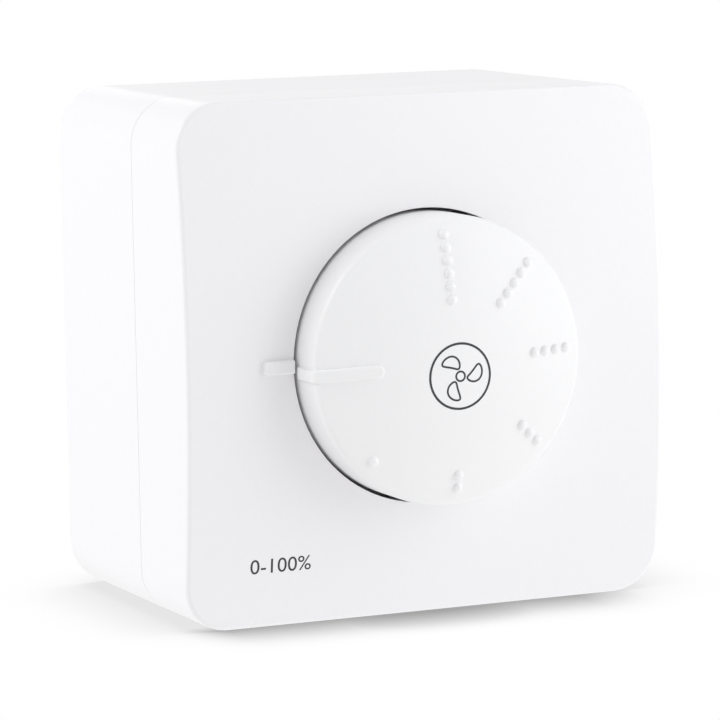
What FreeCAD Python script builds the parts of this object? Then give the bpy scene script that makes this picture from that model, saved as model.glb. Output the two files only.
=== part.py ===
"""Fan speed control switch: a surface-mounted rotary controller.

Millimetres, +Z up. The origin is the centre of the back face, which lies against the wall. The front faces
-Y, so a depth, counted from the wall towards the front, is a place on -Y. Every size is a cell of the sheet,
and the pieces take their sizes and places from it by formula.
"""
import FreeCAD, Part
import Sketcher
import math
import os
from types import SimpleNamespace

SIZES = {
    # housing and cover
    "body_width": 82.0,
    "body_height": 82.0,
    "body_depth": 50.5,          # wall to the top and bottom edges of the front
    "front_bulge": 3.3,          # how far the front bows out at mid-height
    "corner_radius": 7.5,
    "housing_depth": 32.5,       # wall to the seam
    "cover_wall": 2.2,
    "front_edge_round": 0.7,
    "housing_wall": 2.2,
    "back_wall": 2.6,
    "seam_gap": 0.1,
    "tongue_thick": 0.9,
    "tongue_height": 2.5,
    "tongue_clearance": 0.15,
    "gasket_thick": 1.0,
    "root_depth": 0.3,           # how deep a rib or a cup's wall runs into what carries it
    # well and index mark of the cover
    "well_radius": 23.25,
    "well_depth": 6.5,           # behind the front's top and bottom edges
    "well_wall": 1.6,
    "well_floor": 2.0,
    "mark_length": 5.2,
    "mark_width": 2.15,
    "mark_proud": 0.9,
    "mark_gap": 0.15,            # from the well to the mark's inner end
    "mark_corner": 0.45,
    "mark_round": 0.35,
    "mark_root": 1.0,
    # fixing holes, posts and cable entries of the housing
    "wall_hole_spacing": 60.0,
    "wall_hole_radius": 2.25,
    "wall_pad_radius": 5.0,
    "wall_pad_proud": 1.2,
    "post_radius": 4.0,
    "entry_spacing": 28.0,
    "entry_shift": 1.55,         # a cable entry's axis is this much behind the middle of the side wall
    "entry_radius": 8.5,
    "entry_flange": 2.2,
    "entry_flange_thick": 1.0,
    "entry_clearance": 0.3,      # around the grommet's outer flange
    "entry_recess": 1.3,
    "entry_land": 0.9,           # how far the thick ring inside reaches past the flange
    "entry_pad": 1.6,
    "membrane_thick": 0.8,
    "grommet_wall": 1.6,
    "grommet_cup": 2.0,
    "grommet_step": 0.6,         # the inner flange is this much smaller than the outer one
    "knockout_radius": 11.0,
    "knockout_groove": 0.8,
    "knockout_depth": 1.5,
    # bushing, nut, washer and seal
    "bushing_radius": 5.0,
    "bushing_clearance": 0.15,
    "bushing_spare": 1.2,
    "bushing_flange": 1.5,
    "nut_flats": 14.0,
    "nut_thick": 2.2,
    "washer_radius": 7.8,
    "washer_thick": 0.6,
    "washer_teeth": 12,
    "washer_gap_radius": 0.8,
    "seal_radius": 8.6,
    "seal_thick": 1.0,
    # knob
    "knob_gap": 0.55,            # between the knob's skirt and the well
    "knob_floor_gap": 1.0,
    "knob_face": 13.2,           # from the front's top and bottom edges to the middle of the face
    "dome_radius": 82.0,
    "rim_round": 1.1,
    "knob_skin": 1.7,
    "knob_roof": 2.2,
    "hub_radius": 5.4,
    "hub_gap": 0.6,              # between the hub's end and the bushing's end
    "hub_slot": 1.0,
    "hub_slot_length": 5.0,
    "bore_clearance": 0.02,
    "key_tall": 4.8,
    "key_lead": 0.5,             # the key starts this far above the lower end of the shaft's flat
    "rib_thick": 1.1,
    "rib_gap": 0.4,              # from the slots' end to the ribs
    "clip_thick": 0.5,
    "clip_width": 3.0,
    "clip_inset": 1.0,
    "clip_mouth": 4.0,
    "bar_width": 2.1,
    "bar_proud": 0.45,
    "bar_sunk": 0.6,             # how deep the bar is rooted below the face
    "bar_round": 0.38,
    "bar_tip": 12.0,             # from the knob's axis to the inner end of the bar
    "bar_lift": 0.3,             # between the bar's lower end and the mark
    "dot_inset": 2.9,            # from the knob's skirt to the outer ring of dots
    "dot_pitch": 2.0,
    "dot_radius": 0.85,
    "dot_proud": 0.68,
    "dot_rows": 6,
    "step_angle": 45.0,
    "rest_turn": 2.5,            # the knob stands this many degrees short of the mark
    # shaft
    "shaft_radius": 3.0,
    "shaft_clearance": 0.05,
    "shaft_flat": 1.5,           # from the axis to the flat
    "shaft_flat_length": 9.0,
    "shaft_cover": 4.5,          # from the shaft's end to the middle of the knob's face
    "shaft_end_gap": 0.3,
    "spindle_radius": 1.6,
    # potentiometer and switch
    "case_radius": 12.0,
    "case_wall": 1.2,
    "pot_length": 10.0,
    "switch_length": 8.0,
    "track_thick": 1.0,
    "track_width": 4.6,
    "track_clearance": 0.6,
    "wiper_gap": 0.3,
    "wiper_thick": 1.4,
    "wiper_radius": 6.4,
    "wiper_arm_width": 2.4,
    "finger_width": 1.6,
    "finger_length": 1.2,
    "finger_inset": 1.0,         # from the track's inner edge to the finger
    "contact_gap": 0.05,
    "cam_radius": 7.0,
    "cam_thick": 2.4,
    "cam_gap": 1.4,
    "cam_notch": 2.0,
    "lug_width": 1.6,
    "lug_thick": 0.6,
    "lug_pitch": 5.0,
    "lug_reach": 1.4,            # how far a lug's leg stands outside the case
    "lug_lap": 2.0,              # how far a lug lies over the track
    "lug_slot_gap": 0.6,
    "switch_lug_across": 3.5,
    "switch_lug_arm": 4.4,
    "spring_reach": 4.0,
    "spring_thick": 0.4,
    # support plate and screws
    "plate_clearance": 3.8,      # between the plate's edge and the housing's inner wall
    "plate_thick": 1.2,
    "plate_corner": 4.0,
    "post_inset": 5.0,           # from the plate's edge to the axis of a screw
    "screw_clearance": 0.25,
    "tip_gap": 0.4,              # between a screw's tip and the end of its hole
    "recess_width": 0.6,
    "plate_screw_radius": 1.7,
    "plate_screw_length": 10.0,
    "plate_head_radius": 3.2,
    "plate_head_tall": 2.0,
    "tab_width": 12.0,
    "tab_relief": 0.5,
    "tab_bend": 0.8,
    "tab_length": 14.5,
    "window_clearance": 0.5,
    "box_slot_length": 7.0,
    "box_slot_width": 3.8,
    # tub and board
    "tub_wall": 1.5,
    "tub_floor": 1.5,
    "tub_room": 0.8,             # between the choke and the tub's wall
    "solder_space": 3.0,
    "ear_overhang": 1.5,         # from the tub's outside to the axis of an ear
    "ear_radius": 4.0,
    "ear_thick": 6.0,
    "ear_floor": 0.8,
    "base_head_radius": 2.1,
    "base_head_clearance": 0.2,
    "pillar_wall": 1.1,
    "pillar_floor": 1.0,
    "mouth_clearance": 1.5,
    "mouth_lap": 1.1,
    "board_clearance": 0.5,
    "board_thick": 1.6,
    "board_lip": 0.3,            # how far the board stands out past the terminals
    "board_screw_radius": 1.1,
    "board_screw_inset": 5.0,    # from the tub's outside to the axis of a board screw
    "board_head_radius": 2.0,
    "board_head_tall": 1.4,
    "fit_clearance": 0.05,
    # terminals
    "poles": 4,
    "pole_pitch": 5.08,
    "pole_wall": 0.88,
    "block_depth": 9.4,
    "block_tall": 12.0,
    "block_gap": 3.2,            # from the switch's case to the block
    "clamp_tall": 5.6,
    "clamp_wall": 0.7,
    "clamp_rise": 1.6,
    "clamp_clearance": 0.1,
    "clamp_bridge": 1.9,         # thickness of the clamp's top, which holds the thread
    "clamp_screw_radius": 1.2,
    "clamp_screw_length": 3.2,
    "clamp_head_tall": 1.6,
    "clamp_head_gap": 0.3,
    "wire_port_radius": 1.8,
    "wire_port_rise": 2.4,
    # fuse
    "fuse_length": 20.0,
    "fuse_cap_radius": 2.6,
    "fuse_cap_length": 5.0,
    "fuse_cap_wall": 0.3,
    "fuse_cap_end": 0.4,
    "glass_wall": 0.6,
    "fuse_wire_radius": 0.15,
    "fuse_gap": 4.4,             # from the switch's case to the fuse
    "fuse_rise": 5.2,            # from the board to the fuse's axis
    "clip_metal": 0.5,
    "clip_length": 4.0,
    "clip_foot": 2.4,
    "clip_opening": 4.2,
    "clip_lip": 1.2,
    # triac
    "triac_gap": 2.5,            # from the switch's case to the triac
    "triac_width": 10.2,
    "triac_thick": 4.5,
    "triac_body_tall": 9.2,
    "triac_head_room": 1.1,      # from the triac's metal tab to the plate
    "triac_tab_thick": 1.3,
    "triac_lead": 1.5,
    "triac_lead_back": 2.4,
    "triac_lead_seat": 1.2,
    "triac_hole_inset": 2.8,
    "triac_hole_clearance": 0.1,
    "triac_screw_radius": 1.5,
    "triac_head_radius": 2.7,
    "triac_head_tall": 1.8,
    "triac_slot_width": 0.7,
    "triac_slot_depth": 0.8,
    "triac_nut_flats": 5.5,
    "triac_nut_thick": 2.2,
    "triac_screw_spare": 1.8,
    # choke
    "choke_gap": 1.8,            # from the switch's case to the choke
    "choke_angle": 18.0,
    "choke_radius": 6.2,
    "choke_tall": 13.0,
    "choke_flange": 1.5,
    "choke_core_radius": 2.8,
    "choke_wire": 0.9,
    "choke_turns": 11,
    "turn_gap": 0.02,
    # from the switch's case to the axis of each small part on the board
    "film_reach": 7.87,
    "timing_reach": 6.42,
    "first_resistor_reach": 10.42,
    "second_resistor_reach": 5.35,
    "third_resistor_reach": 4.99,
    "diac_reach": 2.76,
    "trimmer_reach": 9.46,
    # small parts on the board
    "lead_radius": 0.3,
    "lead_clearance": 0.12,
    "lead_pitch": 2.54,
    "lead_below": 2.0,           # how far a lead stands out behind the board
    "lead_seat": 0.6,            # how deep a lead runs into its part
    "part_rise": 0.8,            # from the board to the end of a standing part
    "loop_rise": 1.2,
    "film_width": 6.0,
    "film_tall": 13.0,
    "film_length": 12.0,
    "film_spread": 10.0,
    "timing_width": 5.0,
    "timing_tall": 6.5,
    "timing_length": 2.5,
    "case_rise": 0.4,
    "resistor_radius": 1.2,
    "resistor_length": 6.3,
    "diac_radius": 0.9,
    "diac_length": 4.2,
    "trimmer_angle": 50.7,
    "trimmer_width": 6.5,
    "trimmer_tall": 4.4,
    "trimmer_seat": 1.5,
    "trimmer_rotor_radius": 2.3,
    "trimmer_rotor_tall": 2.2,
    "trimmer_hole_gap": 0.6,
    "trimmer_slot": 0.7,
    "trimmer_slot_depth": 0.8,
}

ROUND = 360
OVERRUN = 1                      # how far a cutting shape runs past the face that it cuts
RECESS_SPAN = 1.1                # a cross recess against the radius and the height of its screw's head
RECESS_DEPTH = 0.55
BOARD_SCREW_ANGLES = (128.1, 231.9, -6.4)
EAR_ANGLES = (225, 45)
# the angle from +X at which each small part stands on the board
ANGLES = {
    "film": -28.9,
    "timing": 120.3,
    "first_resistor": 114.5,
    "second_resistor": 222.0,
    "third_resistor": -47.9,
    "diac": 55.8,
}

doc = FreeCAD.newDocument("fan_speed_switch")
sheet = doc.addObject("Spreadsheet::Sheet", "Sizes")
nodes = []


class Length:
    """A size with its value and the sheet formula that gives it."""

    def __init__(self, text, value):
        self.text = text
        self.value = value

    def __add__(self, other):
        other = as_length(other)
        return Length(f"({self.text} + {other.text})", self.value + other.value)

    def __sub__(self, other):
        other = as_length(other)
        return Length(f"({self.text} - {other.text})", self.value - other.value)

    def __mul__(self, other):
        other = as_length(other)
        return Length(f"({self.text} * {other.text})", self.value * other.value)

    def __truediv__(self, other):
        other = as_length(other)
        return Length(f"({self.text} / {other.text})", self.value / other.value)

    def __radd__(self, other):
        return as_length(other) + self

    def __rsub__(self, other):
        return as_length(other) - self

    def __rmul__(self, other):
        return as_length(other) * self

    def __neg__(self):
        return Length(f"(0 - {self.text})", -self.value)


def as_length(thing):
    """A bare number as a Length."""
    return thing if isinstance(thing, Length) else Length(str(thing), thing)


def root(term):
    """Square root."""
    return Length(f"sqrt({term.text})", math.sqrt(term.value))


def cosine(angle):
    """Cosine of an angle in degrees."""
    angle = as_length(angle)
    return Length(f"cos({angle.text})", math.cos(math.radians(angle.value)))


def sine(angle):
    """Sine of an angle in degrees."""
    angle = as_length(angle)
    return Length(f"sin({angle.text})", math.sin(math.radians(angle.value)))


def polar(reach, angle):
    """Two distances, right and up, of a point at a reach from the axis and an angle from +X."""
    return reach * cosine(angle), reach * sine(angle)


def fill_sheet():
    """One row for each size: its name and its plain number."""
    for row, (alias, value) in enumerate(SIZES.items(), start=1):
        sheet.set(f"A{row}", alias.replace("_", " "))
        sheet.set(f"B{row}", str(value))
        sheet.setAlias(f"B{row}", alias)
    doc.recompute()
    return SimpleNamespace(**{alias: Length(f"Sizes.{alias}", value) for alias, value in SIZES.items()})


s = fill_sheet()


def bind(thing, **formulas):
    """Ties properties of an object to formulas."""
    for name, term in formulas.items():
        thing.setExpression(name, as_length(term).text)


def place(thing, x, y, z):
    """Ties an object's place to formulas."""
    for axis, term in zip("xyz", (x, y, z)):
        thing.setExpression(f"Placement.Base.{axis}", as_length(term).text)
    return thing


def node(label, thing):
    """Names a finished piece."""
    thing.Label = label
    nodes.append(thing)
    return thing


# primitives and booleans


def block(name, wide, thick, tall, x, depth, z):
    """A box centred on x and z, from a depth forward by its thickness."""
    thing = doc.addObject("Part::Box", name)
    bind(thing, Length=wide, Width=thick, Height=tall)
    return place(thing, x - as_length(wide) / 2, -(as_length(depth) + thick), z - as_length(tall) / 2)


TURNS = {
    "front": FreeCAD.Rotation(FreeCAD.Vector(1, 0, 0), 90),
    "up": FreeCAD.Rotation(),
    "right": FreeCAD.Rotation(FreeCAD.Vector(0, 1, 0), 90),
}


def post(name, radius, tall, x, depth, z, towards="front"):
    """A cylinder that starts at a place and runs to the front, up or to the right."""
    thing = doc.addObject("Part::Cylinder", name)
    thing.Placement = FreeCAD.Placement(FreeCAD.Vector(), TURNS[towards])
    bind(thing, Radius=radius, Height=tall)
    return place(thing, x, -as_length(depth), z)


def ball(name, radius, x, depth, z):
    """A sphere about a point."""
    thing = doc.addObject("Part::Sphere", name)
    thing.Placement = FreeCAD.Placement(FreeCAD.Vector(), TURNS["front"])
    bind(thing, Radius=radius)
    return place(thing, x, -as_length(depth), z)


def hexagon(name, flats, tall, x, depth, z, towards="front"):
    """A six-sided prism, given by the size across its flats."""
    thing = doc.addObject("Part::Prism", name)
    thing.Polygon = 6
    thing.Placement = FreeCAD.Placement(FreeCAD.Vector(), TURNS[towards])
    bind(thing, Circumradius=as_length(flats) / math.sqrt(3), Height=tall)
    return place(thing, x, -as_length(depth), z)


def fuse(name, *things):
    """One solid from several."""
    thing = doc.addObject("Part::MultiFuse", name)
    thing.Shapes = list(things)
    thing.Refine = True
    return thing


def group(name, things):
    """Like pieces that share a node."""
    thing = doc.addObject("Part::Compound", name)
    thing.Links = list(things)
    return thing


def cut(name, base, *tools):
    """A solid less its tools."""
    thing = doc.addObject("Part::Cut", name)
    thing.Base = base
    thing.Tool = tools[0] if len(tools) == 1 else group(name + "_tools", tools)
    thing.Refine = True
    return thing


def tube(name, outer, inner, tall, x, depth, z, towards="front"):
    """A cylinder with a bore right through."""
    wall = post(name + "_outside", outer, tall, x, depth, z, towards)
    bore = post(name + "_bore", inner, tall, x, depth, z, towards)
    return cut(name, wall, bore)


# sketches and features of moulded, turned and folded bodies


def new_body(name):
    """An empty body of features."""
    return doc.addObject("PartDesign::Body", name)


def sketch_on(body, name, role, offset=0):
    """A sketch on one of the body's own planes, moved along the plane's normal."""
    sketch = body.newObject("Sketcher::SketchObject", name)
    plane = next(item for item in body.Origin.OriginFeatures if item.Role == role)
    sketch.AttachmentSupport = [(plane, "")]
    sketch.MapMode = "FlatFace"
    sketch.setExpression("AttachmentOffset.Base.z", as_length(offset).text)
    return sketch


def pin_point(sketch, geometry, end, u, v):
    """Holds a point at two distances from the sketch's origin."""
    for kind, term, axis in (("DistanceX", as_length(u), -2), ("DistanceY", as_length(v), -1)):
        if term.text == "0":
            sketch.addConstraint(Sketcher.Constraint("PointOnObject", geometry, end, axis))
            continue
        index = sketch.addConstraint(Sketcher.Constraint(kind, -1, 1, geometry, end, term.value))
        sketch.setExpression(f"Constraints[{index}]", term.text)


def outline(body, name, role, points, arcs=None, offset=0):
    """A closed outline through points. An arc is given by its first point, its radius and its side."""
    sketch = sketch_on(body, name, role, offset)
    arcs = arcs or {}
    flat = [FreeCAD.Vector(as_length(u).value, as_length(v).value, 0) for u, v in points]
    ends = []
    for index, start in enumerate(flat):
        stop = flat[(index + 1) % len(flat)]
        if index in arcs:
            radius, side = arcs[index]
            chord = stop - start
            half = chord.Length / 2
            sagitta = radius.value - math.sqrt(radius.value ** 2 - half ** 2)
            across = FreeCAD.Vector(-chord.y, chord.x, 0).normalize() * sagitta * side
            geometry = sketch.addGeometry(Part.Arc(start, (start + stop) / 2 + across, stop), False)
            same = sketch.getPoint(geometry, 1).distanceToPoint(start) < 1e-6
            ends.append((geometry, 1 if same else 2, 2 if same else 1))
        else:
            geometry = sketch.addGeometry(Part.LineSegment(start, stop), False)
            ends.append((geometry, 1, 2))
    for index, (geometry, first, last) in enumerate(ends):
        following, next_first, _ = ends[(index + 1) % len(ends)]
        sketch.addConstraint(Sketcher.Constraint("Coincident", geometry, last, following, next_first))
    for (geometry, first, last), (u, v) in zip(ends, points):
        pin_point(sketch, geometry, first, u, v)
    for index, (radius, side) in arcs.items():
        number = sketch.addConstraint(Sketcher.Constraint("Radius", ends[index][0], radius.value))
        sketch.setExpression(f"Constraints[{number}]", radius.text)
    return sketch


def rectangle(body, name, role, wide, tall, offset=0, middle=(0, 0)):
    """An upright rectangle about a middle point."""
    u, v = (as_length(value) for value in middle)
    left, right = u - as_length(wide) / 2, u + as_length(wide) / 2
    low, high = v - as_length(tall) / 2, v + as_length(tall) / 2
    return outline(body, name, role, [(left, low), (right, low), (right, high), (left, high)], None, offset)


def rounded(body, name, role, wide, tall, radius, offset=0):
    """A rectangle about the origin with round corners."""
    u, v = as_length(wide) / 2, as_length(tall) / 2
    points = [(radius - u, -v), (u - radius, -v), (u, radius - v), (u, v - radius),
              (u - radius, v), (radius - u, v), (-u, v - radius), (-u, radius - v)]
    return outline(body, name, role, points, {corner: (radius, -1) for corner in (1, 3, 5, 7)}, offset)


def circles(body, name, role, rounds, offset=0):
    """Circles, each given by its two distances from the origin and its radius."""
    sketch = sketch_on(body, name, role, offset)
    for u, v, radius in rounds:
        u, v, radius = as_length(u), as_length(v), as_length(radius)
        circle = Part.Circle(FreeCAD.Vector(u.value, v.value, 0), FreeCAD.Vector(0, 0, 1), radius.value)
        geometry = sketch.addGeometry(circle, False)
        number = sketch.addConstraint(Sketcher.Constraint("Radius", geometry, radius.value))
        sketch.setExpression(f"Constraints[{number}]", radius.text)
        pin_point(sketch, geometry, 3, u, v)
    return sketch


def feature(body, kind, sketch, length, reverse=False, symmetric=False):
    """A pad or a pocket of a sketch."""
    thing = body.newObject("PartDesign::" + kind, sketch.Name + "_" + kind.lower())
    thing.Profile = sketch
    thing.Reversed = reverse
    thing.SideType = "Symmetric" if symmetric else "One side"
    bind(thing, Length=length)
    before = thing.BaseFeature.Shape.Volume if thing.BaseFeature else 0
    doc.recompute()
    check_feature(thing)
    if kind == "Pocket" and thing.Shape.Volume > before - 1e-6:
        raise RuntimeError(thing.Name + " cuts nothing")
    return thing


def check_feature(thing):
    """Stops on a feature that failed."""
    if "Invalid" in thing.State or "Error" in thing.State or thing.Shape.isNull():
        raise RuntimeError(f"{thing.Name} failed: {thing.State}, {thing.getStatusString()}")


def pad(body, sketch, length, **how):
    """Material along the sketch's normal."""
    return feature(body, "Pad", sketch, length, **how)


def pocket(body, sketch, length, **how):
    """A hollow along the sketch's normal, reversed unless told otherwise."""
    how.setdefault("reverse", True)
    return feature(body, "Pocket", sketch, length, **how)


def turn(body, kind, sketch):
    """A revolution or a groove about the sketch's upright axis."""
    thing = body.newObject("PartDesign::" + kind, sketch.Name + "_" + kind.lower())
    thing.Profile = sketch
    thing.ReferenceAxis = (sketch, ["V_Axis"])
    thing.Angle = ROUND
    doc.recompute()
    check_feature(thing)
    return thing


def round_edges(body, name, radius, wanted):
    """Rounds the edges of the body's tip that the test picks."""
    tip = body.Tip
    names = [f"Edge{index}" for index, edge in enumerate(tip.Shape.Edges, start=1) if wanted(edge)]
    if not names:
        raise RuntimeError(name + " finds no edge")
    thing = body.newObject("PartDesign::Fillet", name)
    thing.Base = (tip, names)
    bind(thing, Radius=radius)
    doc.recompute()
    check_feature(thing)
    return thing


def along(edge, axis):
    """Whether a straight edge runs along an axis."""
    ends = [vertex.Point for vertex in edge.Vertexes]
    if len(ends) != 2 or not isinstance(edge.Curve, Part.Line):
        return False
    run = ends[1] - ends[0]
    return abs(abs(getattr(run, axis)) - run.Length) < 1e-6


def near(value, term):
    """Whether a measured value is a size."""
    return abs(value - as_length(term).value) < 1e-4


def corner_edge(half_wide, half_tall):
    """A test for the four edges that run front to back at the corners of a rectangle."""
    def test(edge):
        middle = edge.CenterOfMass
        return along(edge, "y") and near(abs(middle.x), half_wide) and near(abs(middle.z), half_tall)
    return test


# depths, counted from the wall, and places that several pieces share
seam = s.housing_depth
rim = seam - s.seam_gap
entry_depth = (s.back_wall + rim) / 2 - s.entry_shift
half_wide = s.body_width / 2
half_tall = s.body_height / 2
front_radius = (half_tall * half_tall + s.front_bulge * s.front_bulge) / (2 * s.front_bulge)
front_middle = s.body_depth + s.front_bulge
well_bottom = s.body_depth - s.well_depth
cover_seat = well_bottom - s.well_floor
plate_front = cover_seat - s.seal_thick
plate_back = plate_front - s.plate_thick
bushing_end = well_bottom + s.washer_thick + s.nut_thick + s.bushing_spare
shaft_end = s.body_depth + s.knob_face - s.shaft_cover
case_front = plate_back - s.bushing_flange
track_back = case_front - s.track_thick
switch_front = plate_back - s.pot_length
board_front = switch_front - s.switch_length
board_back = board_front - s.board_thick
tub_inside = board_back - s.solder_space
tub_back = tub_inside - s.tub_floor
track_outer = s.case_radius - s.case_wall - s.track_clearance
lug_inner = track_outer - s.lug_lap
lug_outer = s.case_radius + s.lug_reach
tub_radius = s.case_radius + s.choke_gap + 2 * s.choke_radius + s.tub_room + s.tub_wall
board_radius = tub_radius - s.tub_wall - s.board_clearance
lead_end = board_back - s.lead_below
inner_wide = s.body_width - 2 * s.housing_wall
inner_tall = s.body_height - 2 * s.housing_wall
inner_corner = s.corner_radius - s.housing_wall
knob_radius = s.well_radius - s.knob_gap
knob_low = well_bottom + s.knob_floor_gap
dome_centre = s.body_depth + s.knob_face - s.dome_radius
plate_wide = inner_wide - 2 * s.plate_clearance
plate_high = inner_tall - 2 * s.plate_clearance
post_places = [(x * (plate_wide / 2 - s.post_inset), z * (plate_high / 2 - s.post_inset))
               for x in (-1, 1) for z in (-1, 1)]
ear_places = [polar(tub_radius + s.ear_overhang, angle) for angle in EAR_ANGLES]
board_screw_places = [polar(tub_radius - s.board_screw_inset, angle) for angle in BOARD_SCREW_ANGLES]
block_wide = s.poles * s.pole_pitch
block_middle = s.case_radius + s.block_gap + s.block_depth / 2
block_end = s.case_radius + s.block_gap + s.block_depth
fuse_across = s.case_radius + s.fuse_gap + s.fuse_cap_radius
triac_face = s.case_radius + s.triac_gap + s.triac_thick
triac_top = plate_back - s.triac_head_room
triac_hole = triac_top - s.triac_hole_inset
choke_place = polar(s.case_radius + s.choke_gap + s.choke_radius, s.choke_angle)
trimmer_place = polar(s.case_radius + s.trimmer_reach, s.trimmer_angle)


def surface_housing():
    """The box behind the cover: posts, wall holes, cable entries and the tongue at its rim."""
    body = new_body("Housing")
    pad(body, rounded(body, "Box", "XZ_Plane", s.body_width, s.body_height, s.corner_radius), rim)
    tongue_wide = inner_wide + 2 * s.tongue_thick
    tongue_tall = inner_tall + 2 * s.tongue_thick
    tongue = rounded(body, "Tongue", "XZ_Plane", tongue_wide, tongue_tall, inner_corner + s.tongue_thick, rim)
    pad(body, tongue, s.tongue_height + s.seam_gap)
    hollow = rounded(body, "Hollow", "XZ_Plane", inner_wide, inner_tall, inner_corner, s.back_wall)
    pocket(body, hollow, s.body_depth)
    posts = circles(body, "Posts", "XZ_Plane", [(x, z, s.post_radius) for x, z in post_places], s.back_wall)
    pad(body, posts, plate_back - s.back_wall)
    pilot = s.plate_screw_radius + s.fit_clearance
    pilots = circles(body, "Pilots", "XZ_Plane", [(x, z, pilot) for x, z in post_places], plate_back)
    pocket(body, pilots, s.plate_screw_length - s.plate_thick + s.tip_gap, reverse=False)
    hole = s.wall_hole_spacing / 2
    pad_rounds = [(x * hole, 0, s.wall_pad_radius) for x in (-1, 1)]
    pad(body, circles(body, "Wall_pads", "XZ_Plane", pad_rounds, s.back_wall), s.wall_pad_proud)
    holes = circles(body, "Wall_holes", "XZ_Plane", [(x * hole, 0, s.wall_hole_radius) for x in (-1, 1)])
    pocket(body, holes, s.back_wall + s.wall_pad_proud)
    outer = s.knockout_radius + s.knockout_groove
    ring = circles(body, "Knockout", "XZ_Plane", [(0, 0, s.knockout_radius), (0, 0, outer)])
    pocket(body, ring, s.knockout_depth)
    entries = [(x * s.entry_spacing / 2, -entry_depth) for x in (-1, 1)]
    flange = s.entry_radius + s.entry_flange
    inside = s.housing_wall - half_tall
    lands = [(x, y, flange + s.entry_land) for x, y in entries]
    pad(body, circles(body, "Entry_lands", "XY_Plane", lands, inside), s.entry_pad)
    rounds = [(x, y, flange + s.entry_clearance) for x, y in entries]
    recess = circles(body, "Entry_recesses", "XY_Plane", rounds, -half_tall)
    pocket(body, recess, s.entry_recess)
    bores = circles(body, "Entry_bores", "XY_Plane", [(x, y, s.entry_radius) for x, y in entries], -half_tall)
    pocket(body, bores, s.housing_wall + s.entry_pad)
    node("surface_housing", body)


def front_cover():
    """The cover: a curved front over straight sides, the knob's well, and the index mark."""
    body = new_body("Cover")
    profile = [(-seam, -half_tall), (-s.body_depth, -half_tall),
               (-s.body_depth, half_tall), (-seam, half_tall)]
    side = outline(body, "Side", "YZ_Plane", profile, {1: (front_radius, 1)})
    pad(body, side, s.body_width, symmetric=True)
    round_edges(body, "Corners", s.corner_radius, corner_edge(half_wide, half_tall))
    round_edges(body, "Front_edge", s.front_edge_round, is_front_edge)
    inner_half = half_tall - s.cover_wall
    inner_depth = s.body_depth - s.cover_wall
    inner_radius = front_radius - s.cover_wall
    inside = [(-seam, -inner_half), (-inner_depth, -inner_half),
              (-inner_depth, inner_half), (-seam, inner_half)]
    hollow = outline(body, "Inside", "YZ_Plane", inside, {1: (inner_radius, 1)})
    pocket(body, hollow, s.body_width - 2 * s.cover_wall, symmetric=True)
    cover_corner = s.corner_radius - s.cover_wall
    round_edges(body, "Inside_corners", cover_corner, corner_edge(half_wide - s.cover_wall, inner_half))
    room = s.tongue_thick + s.tongue_clearance
    rebate = rounded(body, "Rebate", "XZ_Plane", inner_wide + 2 * room, inner_tall + 2 * room,
                     inner_corner + room, seam)
    pocket(body, rebate, s.tongue_height + s.gasket_thick)
    cup = circles(body, "Cup", "XZ_Plane", [(0, 0, s.well_radius + s.well_wall)], cover_seat)
    pad(body, cup, front_middle - s.cover_wall + s.root_depth - cover_seat)
    well = circles(body, "Well", "XZ_Plane", [(0, 0, s.well_radius)], well_bottom)
    pocket(body, well, front_middle - well_bottom + OVERRUN)
    neck = circles(body, "Neck", "XZ_Plane", [(0, 0, s.bushing_radius + s.bushing_clearance)], cover_seat)
    pocket(body, neck, s.well_floor + OVERRUN)
    outer_end = s.well_radius + s.mark_length
    top = front_middle + s.mark_proud
    buried = front_middle - s.mark_root
    inner_end = s.well_radius + s.mark_gap
    mark = outline(body, "Mark", "XY_Plane", [
        (-outer_end, -buried), (-outer_end, -top), (-inner_end, -top), (-inner_end, -buried)])
    pad(body, mark, s.mark_width, symmetric=True)
    round_edges(body, "Mark_corners", s.mark_corner, is_mark_corner)
    round_edges(body, "Mark_edges", s.mark_round, is_mark_edge)
    node("front_cover", body)


def is_front_edge(edge):
    """The chain of edges around the curved front."""
    middle = edge.CenterOfMass
    return -middle.y > s.body_depth.value - 0.01 and not along(edge, "y")


def is_mark_corner(edge):
    """The two edges at the outer end of the index mark that run front to back."""
    middle = edge.CenterOfMass
    return along(edge, "y") and near(-middle.x, s.well_radius + s.mark_length)


def is_mark_edge(edge):
    """The upper edges of the index mark, apart from the one at its inner end."""
    middle = edge.CenterOfMass
    return near(-middle.y, front_middle + s.mark_proud) and not near(-middle.x, s.well_radius + s.mark_gap)


def cover_gasket():
    """A rubber ring at the bottom of the cover's rebate, which the tongue presses on."""
    body = new_body("Gasket")
    wide = inner_wide + 2 * s.tongue_thick
    tall = inner_tall + 2 * s.tongue_thick
    start = seam + s.tongue_height
    ring = rounded(body, "Ring", "XZ_Plane", wide, tall, inner_corner + s.tongue_thick, start)
    pad(body, ring, s.gasket_thick)
    hole = rounded(body, "Hole", "XZ_Plane", inner_wide, inner_tall, inner_corner, start)
    pocket(body, hole, s.gasket_thick)
    node("cover_gasket", body)


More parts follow.
